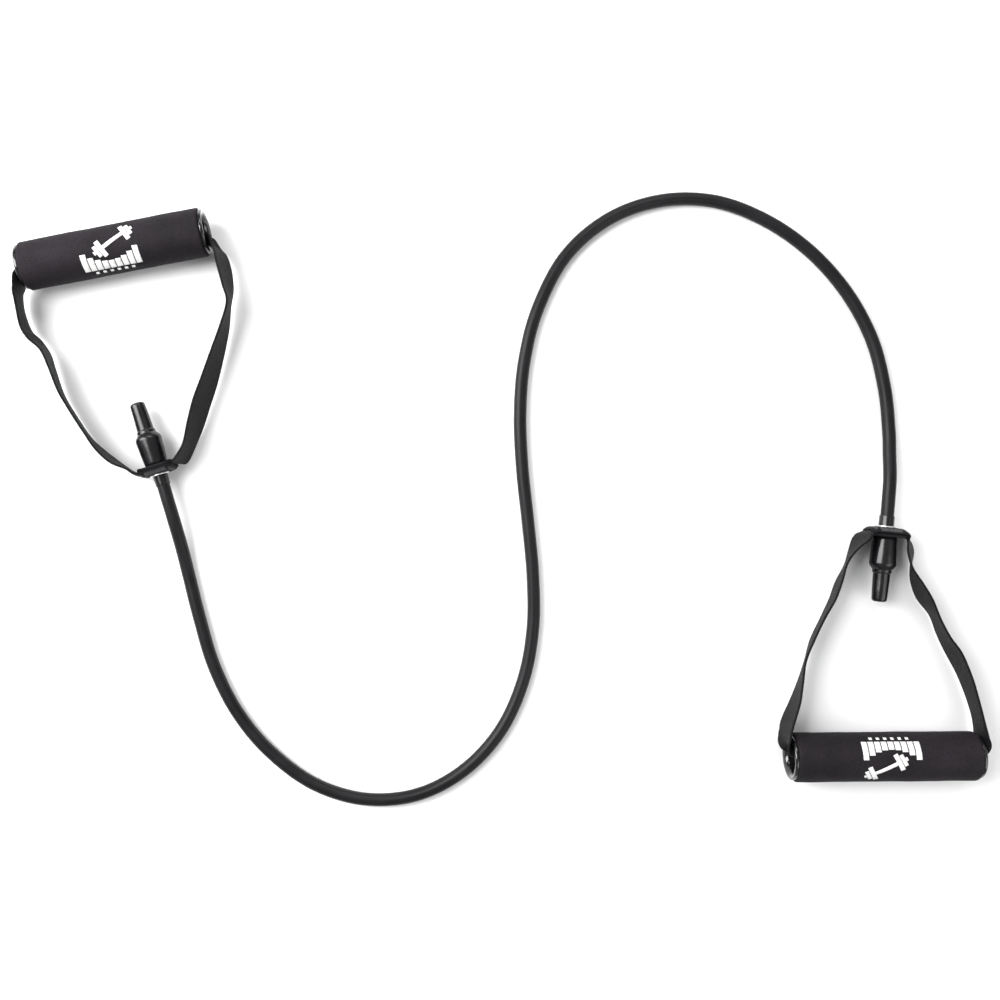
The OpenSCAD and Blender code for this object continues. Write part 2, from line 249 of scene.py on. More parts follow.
def ramp(tree, factor, stops):
    # colour ramp from stops of (position, grey or colour)
    node = tree.nodes.new("ShaderNodeValToRGB")
    tree.links.new(factor, node.inputs[0])
    elements = node.color_ramp.elements
    while len(elements) < len(stops):
        elements.new(0.5)
    for element, (position, colour) in zip(elements, stops):
        element.position = position
        grey = isinstance(colour, (int, float))
        element.color = (colour,) * 3 + (1,) if grey else (*colour, 1)
    return node.outputs[0]


def noise(tree, coordinates, scale, detail=3.0, roughness=0.55):
    node = addNode(tree, "ShaderNodeTexNoise", {"Vector": coordinates},
                   {"Scale": scale, "Detail": detail, "Roughness": roughness})
    return node.outputs[0]


def bumpFrom(tree, height, strength, distance, under=None):
    links = {"Height": height}
    if under is not None:
        links["Normal"] = under
    node = addNode(tree, "ShaderNodeBump", links,
                   {"Strength": strength, "Distance": distance})
    return node.outputs[0]


def coordinates(tree, output="Object"):
    return tree.nodes.new("ShaderNodeTexCoord").outputs[output]


rubberFinish = {
    "dark": (0.0045, 0.0043, 0.0050),
    "light": (0.0090, 0.0087, 0.0100),
    "roughness": (0.36, 0.48),
    "specular": 0.20,
    # all scales are per metre
    "patch": 55.0,  # cloudy bloom
    "streaks": (12, 900, 1),  # along the tube, round it
    "grain": 2600.0,
    # each bump is its strength and its height
    "streakBump": (0.25, 0.00006),
    "grainBump": (0.22, 0.00003),
}


def tubeRubber(finish):
    material, tree, shader = newMaterial("tubeRubber")
    place = coordinates(tree)
    run = coordinates(tree, "UV")
    cloud = noise(tree, place, finish["patch"], 5.0, 0.6)
    # extrusion streaks run along the tube, so they are stretched in u
    drawn = addNode(tree, "ShaderNodeMapping", {"Vector": run},
                    {"Scale": finish["streaks"]})
    streak = noise(tree, drawn.outputs[0], 1.0, 2.0)
    grain = noise(tree, place, finish["grain"], 2.0)
    mixed = mathNode(tree, "ADD", mathNode(tree, "MULTIPLY", cloud, 0.7),
                     mathNode(tree, "MULTIPLY", streak, 0.3))
    tree.links.new(ramp(tree, mixed, [(0.35, finish["dark"]), (0.65, finish["light"])]),
                   shader.inputs["Base Color"])
    low, high = finish["roughness"]
    tree.links.new(ramp(tree, mixed, [(0.3, low), (0.7, high)]), shader.inputs["Roughness"])
    lines = bumpFrom(tree, streak, *finish["streakBump"])
    tree.links.new(bumpFrom(tree, grain, *finish["grainBump"], lines),
                   shader.inputs["Normal"])
    shader.inputs["Specular IOR Level"].default_value = finish["specular"]
    return material


vinylFinish = {
    "colour": (0.004, 0.004, 0.0048),
    "smudge": (0.009, 0.009, 0.010),
    "roughness": (0.20, 0.31),
    "specular": 0.42,
    "handling": 90.0,
    "ripple": 130.0,
    "scuff": 1400.0,
    "rippleBump": (0.35, 0.00035),
    "scuffBump": (0.06, 0.00003),
}


def bootVinyl(finish):
    material, tree, shader = newMaterial("bootVinyl")
    place = coordinates(tree)
    smudge = noise(tree, place, finish["handling"], 6.0, 0.62)
    ripple = noise(tree, place, finish["ripple"], 2.0, 0.4)
    scuff = noise(tree, place, finish["scuff"], 3.0)
    tree.links.new(ramp(tree, smudge, [(0.4, finish["colour"]), (0.72, finish["smudge"])]),
                   shader.inputs["Base Color"])
    low, high = finish["roughness"]
    tree.links.new(ramp(tree, smudge, [(0.35, low), (0.75, high)]),
                   shader.inputs["Roughness"])
    waves = bumpFrom(tree, ripple, *finish["rippleBump"])
    tree.links.new(bumpFrom(tree, scuff, *finish["scuffBump"], waves),
                   shader.inputs["Normal"])
    shader.inputs["Specular IOR Level"].default_value = finish["specular"]
    return material


metalFinish = {
    "stain": 260.0,
    "scratch": 3200.0,
    "scratchBump": (0.12, 0.00003),
    "eyeletNickel": {"colour": (0.90, 0.89, 0.87), "dull": (0.72, 0.71, 0.69),
                     "roughness": (0.22, 0.40)},
    "washerZinc": {"colour": (0.62, 0.63, 0.64), "dull": (0.42, 0.43, 0.44),
                   "roughness": (0.28, 0.50)},
}


def plainMetal(name):
    finish = metalFinish[name]
    material, tree, shader = newMaterial(name)
    place = coordinates(tree)
    stain = noise(tree, place, metalFinish["stain"], 5.0, 0.6)
    scratch = noise(tree, place, metalFinish["scratch"], 4.0, 0.7)
    tree.links.new(ramp(tree, stain, [(0.32, finish["dull"]), (0.6, finish["colour"])]),
                   shader.inputs["Base Color"])
    low, high = finish["roughness"]
    tree.links.new(ramp(tree, scratch, [(0.3, low), (0.75, high)]),
                   shader.inputs["Roughness"])
    tree.links.new(bumpFrom(tree, scratch, *metalFinish["scratchBump"]),
                   shader.inputs["Normal"])
    shader.inputs["Metallic"].default_value = 1.0
    return material


webbingFinish = {
    # the darker colour is painted shade in the weave's grooves, the lighter one painted light on
    # the rib crowns
    "grooveShade": (0.0025, 0.0023, 0.0028),
    "top": (0.0120, 0.0110, 0.0135),
    "pick": 0.0015,  # from one weft rib to the next, along the strap
    "cord": 0.00155,  # width of one warp cord, across the strap
    "fibre": (500, 9000, 1),  # strands per metre along, across
    "wear": 70.0,
    "roughness": (0.52, 0.74),
    "ribBump": (0.85, 0.00030),
    "fibreBump": (0.3, 0.00005),
    "specular": 0.15,
}


def strapWebbing(finish):
    material, tree, shader = newMaterial("strapWebbing")
    run = addNode(tree, "ShaderNodeSeparateXYZ", {"Vector": coordinates(tree, "UV")})
    along, across = run.outputs[0], run.outputs[1]
    # warp cords lie side by side, each half a rib on from the last
    column = mathNode(tree, "DIVIDE", across, finish["cord"])
    shift = mathNode(tree, "MULTIPLY", mathNode(tree, "FLOOR", column), 0.5)
    step = mathNode(tree, "ADD", mathNode(tree, "DIVIDE", along, finish["pick"]), shift)
    rib = mathNode(tree, "ABSOLUTE",
                   mathNode(tree, "SINE", mathNode(tree, "MULTIPLY", step, math.pi)))
    inCord = mathNode(tree, "ABSOLUTE", mathNode(
        tree, "SINE", mathNode(tree, "MULTIPLY", column, math.pi)))
    cordRound = mathNode(tree, "POWER", inCord, 0.6)
    ribRound = mathNode(tree, "POWER", rib, 0.7)
    weave = mathNode(tree, "MULTIPLY", cordRound, ribRound)
    place = coordinates(tree)
    fibre = addNode(tree, "ShaderNodeMapping", {"Vector": coordinates(tree, "UV")},
                    {"Scale": finish["fibre"]})
    strands = noise(tree, fibre.outputs[0], 1.0, 2.0)
    wear = noise(tree, place, finish["wear"], 5.0, 0.65)
    # painted shade: the weave's grooves go dark and its crowns light, mixed with real fibre and
    # wear variation
    weaveShadeAndWear = mathNode(tree, "MULTIPLY", weave,
                     mathNode(tree, "ADD", mathNode(tree, "MULTIPLY", strands, 0.55),
                              mathNode(tree, "MULTIPLY", wear, 0.75)))
    tree.links.new(ramp(tree, weaveShadeAndWear, [(0.05, finish["grooveShade"]), (0.75, finish["top"])]),
                   shader.inputs["Base Color"])
    low, high = finish["roughness"]
    tree.links.new(ramp(tree, strands, [(0.3, low), (0.7, high)]),
                   shader.inputs["Roughness"])
    ribs = bumpFrom(tree, weave, *finish["ribBump"])
    tree.links.new(bumpFrom(tree, strands, *finish["fibreBump"], ribs),
                   shader.inputs["Normal"])
    shader.inputs["Specular IOR Level"].default_value = finish["specular"]
    return material


threadFinish = {
    # the darker colour is painted shade in the grooves between plies, the lighter one a painted
    # highlight on their crowns
    "dark": (0.010, 0.010, 0.011),
    "light": (0.060, 0.060, 0.062),
    "twist": 0.0006,  # from one turn of the ply to the next
    "plyBump": (0.7, 0.00008),
    "roughness": 0.55,
    "sheen": 0.2,
}


def sewingThread(finish):
    material, tree, shader = newMaterial("sewingThread")
    run = addNode(tree, "ShaderNodeSeparateXYZ", {"Vector": coordinates(tree, "UV")})
    lay = mathNode(tree, "ADD",
                   mathNode(tree, "DIVIDE", run.outputs[0], finish["twist"]),
                   mathNode(tree, "MULTIPLY", run.outputs[1], 2.0))
    ply = mathNode(tree, "ABSOLUTE", mathNode(
        tree, "SINE", mathNode(tree, "MULTIPLY", lay, math.pi)))
    # painted shade and highlight following the ply twist
    tree.links.new(ramp(tree, ply, [(0.1, finish["dark"]), (0.9, finish["light"])]),
                   shader.inputs["Base Color"])
    tree.links.new(bumpFrom(tree, ply, *finish["plyBump"]), shader.inputs["Normal"])
    shader.inputs["Roughness"].default_value = finish["roughness"]
    shader.inputs["Sheen Weight"].default_value = finish["sheen"]
    return material


foamFinish = {
    "dark": (0.0110, 0.0092, 0.0115),
    "light": (0.0180, 0.0150, 0.0185),
    # painted shade in the hollows of the open cells
    "pitShade": (0.0050, 0.0042, 0.0052),
    "cell": 1500.0,  # cells per metre
    "coarse": 0.42,  # the larger cells, as a share of that
    "patch": 34.0,
    "speck": 900.0,
    "roughness": (0.62, 0.86),
    "patchBump": (0.4, 0.0008),
    "cellBump": (0.35, 0.00012),
    "coarseBump": (0.4, 0.00020),
    "specular": 0.12,
}


def gripFoam(finish):
    material, tree, shader = newMaterial("gripFoam")
    place = coordinates(tree)
    cells = addNode(tree, "ShaderNodeTexVoronoi", {"Vector": place},
                    {"Scale": finish["cell"], "Randomness": 1.0})
    coarse = addNode(tree, "ShaderNodeTexVoronoi", {"Vector": place},
                     {"Scale": finish["cell"] * finish["coarse"], "Randomness": 1.0})
    cloud = noise(tree, place, finish["patch"], 6.0, 0.62)
    speck = noise(tree, place, finish["speck"], 3.0, 0.7)
    body = ramp(tree, cloud, [(0.32, finish["dark"]), (0.68, finish["light"])])
    # painted shade where the coarse cells sink in
    pitShadeMask = ramp(tree, coarse.outputs["Distance"], [(0.10, 0.0), (0.30, 1.0)])
    mixed = addNode(tree, "ShaderNodeMix", data_type="RGBA")
    tree.links.new(pitShadeMask, mixed.inputs["Factor"])
    mixed.inputs["A"].default_value = (*finish["pitShade"], 1)
    tree.links.new(body, mixed.inputs["B"])
    tree.links.new(mixed.outputs["Result"], shader.inputs["Base Color"])
    low, high = finish["roughness"]
    tree.links.new(ramp(tree, speck, [(0.3, low), (0.7, high)]),
                   shader.inputs["Roughness"])
    skin = bumpFrom(tree, cloud, *finish["patchBump"])
    holes = bumpFrom(tree, cells.outputs["Distance"], *finish["cellBump"], skin)
    tree.links.new(bumpFrom(tree, coarse.outputs["Distance"], *finish["coarseBump"], holes),
                   shader.inputs["Normal"])
    shader.inputs["Specular IOR Level"].default_value = finish["specular"]
    return material


plasticFinish = {
    "handling": 120.0,
    "grain": 2200.0,
    "grainHeight": 0.00005,
    "capPlastic": {"dark": (0.003, 0.003, 0.0033), "light": (0.010, 0.010, 0.011),
                   "roughness": (0.05, 0.20), "grain": 0.03, "coat": 0.5},
    "corePlastic": {"dark": (0.020, 0.020, 0.020), "light": (0.034, 0.034, 0.034),
                    "roughness": (0.38, 0.60), "grain": 0.20, "coat": 0.0},
    "stopperNylon": {"dark": (0.46, 0.45, 0.41), "light": (0.60, 0.59, 0.55),
                     "roughness": (0.35, 0.55), "grain": 0.15, "coat": 0.0},
}


def mouldedPlastic(name):
    finish = plasticFinish[name]
    material, tree, shader = newMaterial(name)
    place = coordinates(tree)
    handling = noise(tree, place, plasticFinish["handling"], 6.0, 0.66)
    grain = noise(tree, place, plasticFinish["grain"], 3.0)
    tree.links.new(ramp(tree, handling, [(0.35, finish["dark"]), (0.7, finish["light"])]),
                   shader.inputs["Base Color"])
    low, high = finish["roughness"]
    tree.links.new(ramp(tree, handling, [(0.4, low), (0.75, high)]),
                   shader.inputs["Roughness"])
    tree.links.new(bumpFrom(tree, grain, finish["grain"], plasticFinish["grainHeight"]),
                   shader.inputs["Normal"])
    shader.inputs["Coat Weight"].default_value = finish["coat"]
    shader.inputs["Coat Roughness"].default_value = 0.05
    return material


inkFinish = {
    "white": (0.80, 0.80, 0.79),
    "worn": (0.36, 0.355, 0.35),
    "cracks": 900.0,
    "rub": 420.0,
    "roughness": (0.7, 0.45),  # where it is worn, where it is whole
    "crackBump": (0.25, 0.00008),
}


def printInk(finish):
    material, tree, shader = newMaterial("printInk")
    place = coordinates(tree)
    cracks = addNode(tree, "ShaderNodeTexVoronoi", {"Vector": place},
                     {"Scale": finish["cracks"], "Randomness": 1.0})
    rub = noise(tree, place, finish["rub"], 5.0, 0.7)
    tree.links.new(ramp(tree, rub, [(0.34, finish["worn"]), (0.46, finish["white"])]),
                   shader.inputs["Base Color"])
    worn, whole = finish["roughness"]
    tree.links.new(ramp(tree, rub, [(0.3, worn), (0.6, whole)]), shader.inputs["Roughness"])
    tree.links.new(bumpFrom(tree, cracks.outputs["Distance"], *finish["crackBump"]),
                   shader.inputs["Normal"])
    return material


finishes = {
    "tube": tubeRubber(rubberFinish),
    "boot": bootVinyl(vinylFinish),
    "eyelet": plainMetal("eyeletNickel"),
    "washer": plainMetal("washerZinc"),
    "strap": strapWebbing(webbingFinish),
    "thread": sewingThread(threadFinish),
    "foam": gripFoam(foamFinish),
    "cap": mouldedPlastic("capPlastic"),
    "core": mouldedPlastic("corePlastic"),
    "stopper": mouldedPlastic("stopperNylon"),
    "ink": printInk(inkFinish),
}
print("materials ready")


def axesMatrix(x, y, z, origin):
    matrix = Matrix((x, y, z)).transposed().to_4x4()
    matrix.translation = origin
    return matrix


def handleOf(tag):
    # a handle's place, from the joints of the frame
    swivel, roll = joints[f"handle_{tag}_swivel"], joints[f"grip_{tag}_roll"]
    eyelet, grip = Vector(swivel["pos_m"]), Vector(roll["pos_m"])
    right = Vector(roll["axis"]).normalized()
    toTip = Vector(swivel["axis"]).normalized()
    forward = up.cross(right)
    offset = grip - eyelet
    return {
        "tag": tag,
        "eyelet": eyelet,
        "toTip": toTip,
        "skew": math.atan2(forward.cross(toTip).z, forward.dot(toTip)),
        "reach": offset.dot(forward),
        "slip": offset.dot(right),  # how far the grip has slid to its right on the strap
        "axisHeight": eyelet.z,
        "gripHeight": grip.z,
        # eyelet at the origin of the floor, grip along X
        "floorMatrix": axesMatrix(right, forward, up, Vector((eyelet.x, eyelet.y, 0))),
        # round the boot's axis, local X up and local Z to its tip
        "bootMatrix": axesMatrix(up, toTip.cross(up), toTip, eyelet),
        # round the grip's axis, local Y up and local Z to the handle's right
        "gripMatrix": axesMatrix(forward, up, right, grip),
    }


handles = [handleOf("a"), handleOf("b")]


tubeSizes = {
    "outer": 0.009,
    "bore": 0.005,
    "sides": 28,
    "steps": 12,  # rings between two points of the route
    "stopper": 0.009,
    # along a boot's axis, from the seam of the strap towards the tip
    "neckEnd": -0.008,
    "stopperStart": 0.00920,
    "stopperNose": 0.004,
    "stopperLength": 0.017,
    "end": 0.0500,
}
floorRoute = [
    (-0.232, -0.006, 0.0122), (-0.228, -0.021, 0.0105), (-0.224, -0.038, 0.007),
    (-0.220, -0.056, 0.0048), (-0.212, -0.088, 0.0045), (-0.202, -0.121, 0.0045),
    (-0.186, -0.153, 0.0045), (-0.163, -0.181, 0.0045), (-0.132, -0.204, 0.0045),
    (-0.096, -0.215, 0.0045), (-0.059, -0.212, 0.0045), (-0.026, -0.195, 0.0045),
    (0.000, -0.167, 0.0045), (0.016, -0.132, 0.0045), (0.023, -0.095, 0.0045),
    (0.023, -0.057, 0.0045), (0.0195, -0.019, 0.0045), (0.0155, 0.019, 0.0045),
    (0.014, 0.057, 0.0045), (0.017, 0.094, 0.0045), (0.0265, 0.131, 0.0045),
    (0.046, 0.168, 0.0045), (0.076, 0.194, 0.0045), (0.112, 0.207, 0.0045),
    (0.150, 0.207, 0.0045), (0.186, 0.194, 0.0045), (0.218, 0.172, 0.0045),
    (0.244, 0.143, 0.0045), (0.262, 0.110, 0.0045), (0.271, 0.076, 0.0045),
    (0.274, 0.046, 0.005), (0.2735, 0.028, 0.0075), (0.2725, 0.012, 0.0108),
    (0.271, -0.002, 0.0123),
]


def swollen(radius, sizes):
    rubber = (sizes["outer"] / 2) ** 2 - (sizes["bore"] / 2) ** 2
    return math.sqrt(radius * radius + rubber)


def tubeEnd(handle, sizes):
    # Stations from the tube's end to its boot's neck: point, outer radius, bore radius
    start, nose = sizes["stopperStart"], sizes["stopperNose"]
    finish = start + sizes["stopperLength"]
    wide, thin = sizes["stopper"] / 2, sizes["bore"] / 2
    stations = [(sizes["end"], thin), (finish, thin), (finish - nose, wide),
                (start + nose, wide), (start, thin), (sizes["neckEnd"], thin)]
    return [
        (handle["eyelet"] + handle["toTip"] * along, swollen(bore, sizes), bore)
        for along, bore in stations
    ]


def makeTube(sizes):
    first, last = (tubeEnd(handle, sizes) for handle in handles)
    rows = [tuple(first[-1][0])] + floorRoute + [tuple(last[-1][0])]
    line = [Vector(p) for p in smoothRows(rows, 0, len(rows) - 1, sizes["steps"])]
    stations = first[:-1]
    stations += [(p, sizes["outer"] / 2, sizes["bore"] / 2) for p in line]
    stations += last[-2::-1]
    points = [s[0] for s in stations]
    outer = tubeAlong(points, [s[1] for s in stations], sizes["sides"])
    inner = tubeAlong(points, [s[2] for s in stations], sizes["sides"])
    lengths = runLengths(points)
    # one closed skin: out along the outside, back along the bore
    rings = outer + inner[::-1]
    back = [2 * lengths[-1] - u for u in lengths[::-1]]
    around = [k * math.pi * sizes["outer"] / sizes["sides"] for k in range(sizes["sides"] + 1)]
    tube = gridPiece("rubberTube", rings, lengths + back + [2 * lengths[-1]], around,
                     finishes["tube"], loop=True)
    return tube, points, lengths[-1]


tube, tubePath, tubeLength = makeTube(tubeSizes)
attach(tube, "tube")
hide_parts("tube")
print(f"tube ready, {tubeLength:.3f} m long")


bootSizes = {
    # corners of the outside as (radius, along) in mm, and how far each is rounded
    "outside": [
        (5.05, -8.0, 0.35), (5.10, 6.2, 0.6), (7.2, 6.3, 0.9), (7.95, 8.4, 3.0),
        (8.6, 17.0, 8.0), (9.1, 26.4, 4.2), (7.1, 29.0, 1.2), (6.45, 29.7, 0.9),
        (6.35, 31.6, 0.8), (5.75, 32.3, 0.5), (5.45, 44.0, 5.0), (5.1, 52.2, 2.4),
    ],
    # the same for the inside, from the closed end of the bore to the neck
    "inside": [
        (4.5, 50.0, 0), (4.5, 26.2, 0), (5.86, 22.2, 0), (5.86, 13.2, 0), (4.5, 9.2, 0),
        (4.5, -7.9, 0.1),
    ],
    "boreEnd": 50.0,
    "tip": 52.2,
    "ripple": 0.05,  # unevenness of the dipped skin
    "rippleRadius": 4.9,  # it shows only outside this radius
    "rippleFrom": -7,  # and beyond this place
    "ripplePitch": 160,
    "seed": {"a": 3.0, "b": 8.0},
}


def bootOutline(sizes):
    walls = sizes["inside"] + sizes["outside"]
    walls = [(0.0, sizes["boreEnd"], 0)] + walls + [(0.0, sizes["tip"], 0)]
    rounded = filleted([wall[:2] for wall in walls], [wall[2] for wall in walls], 6)
    return [(r * mm, z * mm) for r, z in rounded]


def dippedSkin(handle):
    s = bootSizes
    seed = s["seed"][handle["tag"]]

    def shape(angle, radius, along):
        if radius < s["rippleRadius"] * mm or along < s["rippleFrom"] * mm:
            return radius, along
        uneven = wobble(2 * math.cos(angle) + along * s["ripplePitch"],
                        2 * math.sin(angle), seed)
        return radius + uneven * s["ripple"] * mm, along
    return shape


def makeBoot(handle):
    boot = lathePiece(f"boot_{handle['tag']}_dipped", bootOutline(bootSizes),
                      finishes["boot"], handle["bootMatrix"], around=72, loop=False,
                      shape=dippedSkin(handle))
    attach(boot, "tube")
    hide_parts(f"boot_{handle['tag']}")


for handle in handles:
    makeBoot(handle)
print("boots ready")


# Flange, barrel and the edge rolled over the back ring
eyeletSizes = {
    "bore": 5.4, "barrel": 5.9, "flange": 7.0, "flangeThick": 0.9, "seam": 3.1,
    "backThick": 0.9, "rim": 0.4, "outlineStart": 1.5,
    "rounding": [0, 0.55, 0.42, 0.2, 0.05, 0.05, 0.3, 0.36, 0.36, 0],
}


def makeEyelet(handle):
    s, tag = eyeletSizes, handle["tag"]
    rimAt = s["seam"] + s["backThick"] + s["rim"]
    corners = [
        (s["bore"], s["outlineStart"]), (s["bore"], -s["flangeThick"]),
        (s["flange"], -s["flangeThick"]),
        (s["flange"], 0.0), (s["barrel"], 0.0), (s["barrel"], rimAt - s["rim"]),
        (s["barrel"] + s["rim"], rimAt - s["rim"]), (s["barrel"] + s["rim"], rimAt + s["rim"]),
        (s["bore"], rimAt + s["rim"]), (s["bore"], s["outlineStart"]),
    ]
    outline = [(r * mm, z * mm) for r, z in filleted(corners, s["rounding"], 6)][:-1]
    eyelet = lathePiece(f"eyelet_{tag}_rolled", outline, finishes["eyelet"],
                        handle["bootMatrix"], around=72)
    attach(eyelet, f"loop_{tag}")
    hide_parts(f"eyelet_{tag}")


for handle in handles:
    makeEyelet(handle)
print("eyelets ready")


strapSizes = {
    "width": 25.0, "thick": 1.5, "lapGap": 0.1, "seamHalf": 12.0,
    "seamFlat": 5.8,  # half the length of the seam that is straight
    "seamArch": 10.5,  # radius that the rest of it bends with
    "uncurl": 0.45,  # how much flatter the section is at the ends of the seam
    "edgeFlat": 5.6,  # half the width that stays flat round the eyelet
    "curlRadius": 7.0,
    "capEnd": 65.6, "bendOut": 4.5, "cup": 8.6,
    "across": 12,  # steps of the section on each side of its middle
    "lapSteps": 12,
    "legSteps": 9,
    "coreSteps": 24,
    "edgeRound": 0.6,  # how far in from the edge the webbing thins
    "edgeThin": 0.18,  # share of the thickness left at the edge
    # how much thicker the woven edge is, how far in it lies and how wide it is
    "selvedge": (0.09, 1.1, 0.5),
}
# Each leg from the seam to the cap's mouth: share of the mouth's distance, share of the
# reach, and the roll of the webbing from flat
legRoutes = {
    "a": {
        "right": [
            (0.235, 0.044, 98), (0.342, 0.101, 96), (0.442, 0.182, 103),
            (0.549, 0.274, 106), (0.668, 0.364, 104), (0.805, 0.478, 98),
            (0.920, 0.579, 91), (1.003, 0.673, 84), (1.027, 0.742, 95),
            (1.030, 0.830, 101)],
        "left": [
            (0.285, 0.041, 96), (0.414, 0.088, 90), (0.535, 0.154, 93),
            (0.628, 0.226, 100), (0.725, 0.330, 101), (0.803, 0.431, 101),
            (0.842, 0.541, 99), (0.874, 0.619, 95), (0.956, 0.682, 88),
            (1.017, 0.736, 94), (1.034, 0.824, 99)],
    },
    "b": {
        "right": [
            (0.246, 0.050, 95), (0.321, 0.097, 82), (0.392, 0.160, 73),
            (0.461, 0.236, 79), (0.524, 0.314, 79), (0.621, 0.399, 76),
            (0.718, 0.491, 76), (0.783, 0.579, 72), (0.826, 0.667, 78),
            (0.877, 0.755, 86), (0.952, 0.849, 91)],
        "left": [
            (0.218, 0.060, 112), (0.247, 0.107, 120), (0.259, 0.170, 111),
            (0.310, 0.239, 95), (0.391, 0.314, 88), (0.499, 0.396, 97),
            (0.583, 0.475, 93), (0.680, 0.547, 87), (0.792, 0.648, 91),
            (0.870, 0.742, 95), (0.934, 0.836, 97)],
    },
}
# Round a cap's lip into the core: past the cap's end, below the bore's near wall, share of
# the full cup, share of the way out to the leg and of its roll
mouthLine = [
    (1.8, 9.0, 0.04, 0.8), (1.7, 4.8, 0.15, 0.35), (0.7, 1.9, 0.42, 0.05),
    (-0.8, 0.6, 0.78, 0.0), (-2.4, 0.2, 0.90, 0.0), (-4.1, 0.0, 0.96, 0.0),
    (-8.0, 0.0, 1.0, 0.0), (-18.0, 0.0, 1.0, 0.0),
]


def seamArch(x):
    over = max(abs(x) - strapSizes["seamFlat"], 0.0)
    return over * over / (2 * strapSizes["seamArch"])


def seamCurl(x, y):
    s = strapSizes
    out = max(abs(x) - s["seamFlat"], 0.0) / (s["seamHalf"] - s["seamFlat"])
    return (1 - s["uncurl"] * min(out, 1.0) ** 2) / (s["curlRadius"] - y)


def seamRow(handle, x, y):
    skew, curl = handle["skew"], seamCurl(x, y)
    y += seamArch(x)
    return (x * math.cos(skew) - y * math.sin(skew), x * math.sin(skew) + y * math.cos(skew),
            handle["axisHeight"] / mm, 90.0, curl, strapSizes["edgeFlat"])


def legRow(handle, side, row):
    s = strapSizes
    low, high = handle["axisHeight"] / mm, handle["gripHeight"] / mm
    return (side * row[0] * (s["capEnd"] + s["bendOut"]) + handle["slip"] / mm * row[1],
            row[1] * handle["reach"] / mm, low + (high - low) * row[1], row[2], 0.0,
            s["width"] / 2)


def mouthRows(handle, side, leg):
    s, rows = strapSizes, []
    wall = handle["reach"] / mm - s["cup"]
    legX = leg[0] * (s["capEnd"] + s["bendOut"])
    for past, below, share, own in mouthLine:
        out = s["capEnd"] + past
        x = out + own * max(legX - out, 0)
        rows.append((handle["slip"] / mm + side * x, wall - below,
                     handle["gripHeight"] / mm, 90 + own * (leg[2] - 90),
                     -share / s["cup"], 0.0))
    return rows


def strapRows(handle):
    # Rows of x, y, z, roll, curl and flat half-width: inner lap, right leg, grip, left leg,
    # outer lap, all in mm in the handle's floor frame
    s, route = strapSizes, legRoutes[handle["tag"]]
    inner, outer = s["thick"] * 1.5 + s["lapGap"], s["thick"] / 2
    half, steps = s["seamHalf"], s["legSteps"]
    upRows = [seamRow(handle, 0, inner), seamRow(handle, half, inner)]
    upRows += [legRow(handle, 1, row) for row in route["right"]]
    upRows += mouthRows(handle, 1, route["right"][-1])
    downRows = mouthRows(handle, -1, route["left"][-1])[::-1]
    downRows += [legRow(handle, -1, row) for row in route["left"][::-1]]
    downRows += [seamRow(handle, -half, outer), seamRow(handle, 0, outer)]
    lap = [-half + 2 * half * i / s["lapSteps"] for i in range(s["lapSteps"] + 1)]
    rows = [seamRow(handle, x, inner) for x in lap[:-1]]
    rows += smoothRows(upRows, 1, len(upRows) - 1, steps)
    rows += smoothRows([upRows[-1], downRows[0]], 0, 1, s["coreSteps"])[1:-1]
    rows += smoothRows(downRows, 0, len(downRows) - 2, steps)
    rows += [seamRow(handle, x, outer) for x in lap[1:]]
    return rows


def sectionAt(u, curl, flat):
    # Where a place u across the webbing lies: across, off the flat part, and its tilt
    almostFlat = 1e-4
    if abs(curl) < almostFlat:
        return u, 0.0, 0.0
    flat = max(flat, 0.0)
    angle = max(abs(u) - flat, 0.0) * curl
    sign = 1 if u >= 0 else -1
    radius = 1 / curl
    return (sign * (min(abs(u), flat) + radius * math.sin(angle)),
            radius * (1 - math.cos(angle)), sign * angle)


def strapFrames(rows):
    points = [Vector(row[:3]) for row in rows]
    frames = []
    for point, heading, row in zip(points, headings(points), rows):
        side = heading.cross(up).normalized()
        lift = side.cross(heading)
        roll = math.radians(row[3])
        wide = side * math.cos(roll) + lift * math.sin(roll)
        frames.append((point, wide, wide.cross(heading), row[4], row[5]))
    return points, frames


def strapHalfThickness(u):
    # rounded woven edge with a slightly thicker selvedge
    s = strapSizes
    edge = s["width"] / 2 - abs(u)
    zone, thin = s["edgeRound"], s["edgeThin"]
    rounding = min(1.0, math.sqrt(max(0.0, 1 - (1 - min(edge, zone) / zone) ** 2)))
    height, beadAt, beadWidth = s["selvedge"]
    bead = height * math.exp(-((edge - beadAt) / beadWidth) ** 2)
    return s["thick"] / 2 * (thin + (1 - thin) * rounding) + bead


def strapSteps():
    # Places across the webbing, closer together at its edges
    half, n = strapSizes["width"] / 2, strapSizes["across"]
    return [half * math.sin(math.pi / 2 * k / n) for k in range(-n, n + 1)]


def makeStrap(handle):
    tag, us = handle["tag"], strapSteps()
    rows = strapRows(handle)
    points, frames = strapFrames(rows)
    rings = []
    for point, wide, out, curl, flat in frames:
        ring = []
        for face, places in ((1, us), (-1, us[::-1])):
            for u in places:
                across, off, tilt = sectionAt(u, curl, flat)
                h = strapHalfThickness(u) * face
                ring.append((point + wide * (across - h * math.sin(tilt))
                             + out * (off + h * math.cos(tilt))) * mm)
        rings.append(ring)
    lengths = [length * mm for length in runLengths(points)]
    widths = [u * mm for u in us] + [u * mm for u in us[::-1]] + [us[0] * mm]
    strap = gridPiece(f"strap_{tag}_webbing", rings, lengths, widths, finishes["strap"],
                      handle["floorMatrix"])
    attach(strap, f"loop_{tag}")
    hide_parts(f"strap_{tag}")
    print(f"strap {tag} is {lengths[-1]:.3f} m long")
    return strap, lengths[-1]


